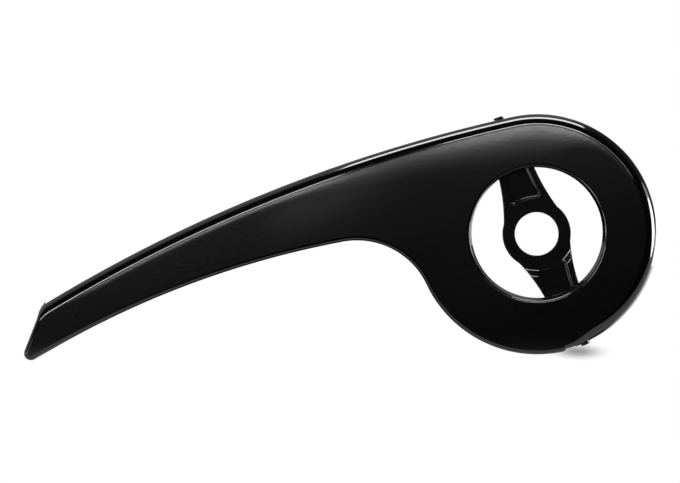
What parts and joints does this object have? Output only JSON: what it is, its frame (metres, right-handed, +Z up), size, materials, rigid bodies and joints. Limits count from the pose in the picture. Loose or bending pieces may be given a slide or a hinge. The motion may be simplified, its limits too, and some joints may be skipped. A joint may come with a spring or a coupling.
{
  "type": "bicycle chain guard",
  "caption": "Black moulded chain guard for a bicycle: a tapering tail, a deep rounded rim round the chainring and a round window, carried by a pressed steel bottom bracket plate.",
  "frame": {"origin": "on the bottom bracket axis, at the back face of the bracket's ring", "axes": "+X away from the tail, +Y along the bottom bracket axis towards the bicycle, +Z up as it hangs on the bicycle"},
  "size_m": [0.5119, 0.03, 0.2027],
  "materials": {
    "shell_plastic": "black moulding with a finely textured satin face and a glossy rim",
    "bracket_paint": "black semi-gloss paint on pressed steel sheet",
    "fastener_steel": "black plated steel"
  },
  "bodies": {
    "root": {"guard_shell": "shell_plastic", "mounting_bracket": "bracket_paint", "upper_screw": "fastener_steel", "upper_nut": "fastener_steel", "lower_screw": "fastener_steel", "lower_nut": "fastener_steel"}
  },
  "joints": []
}
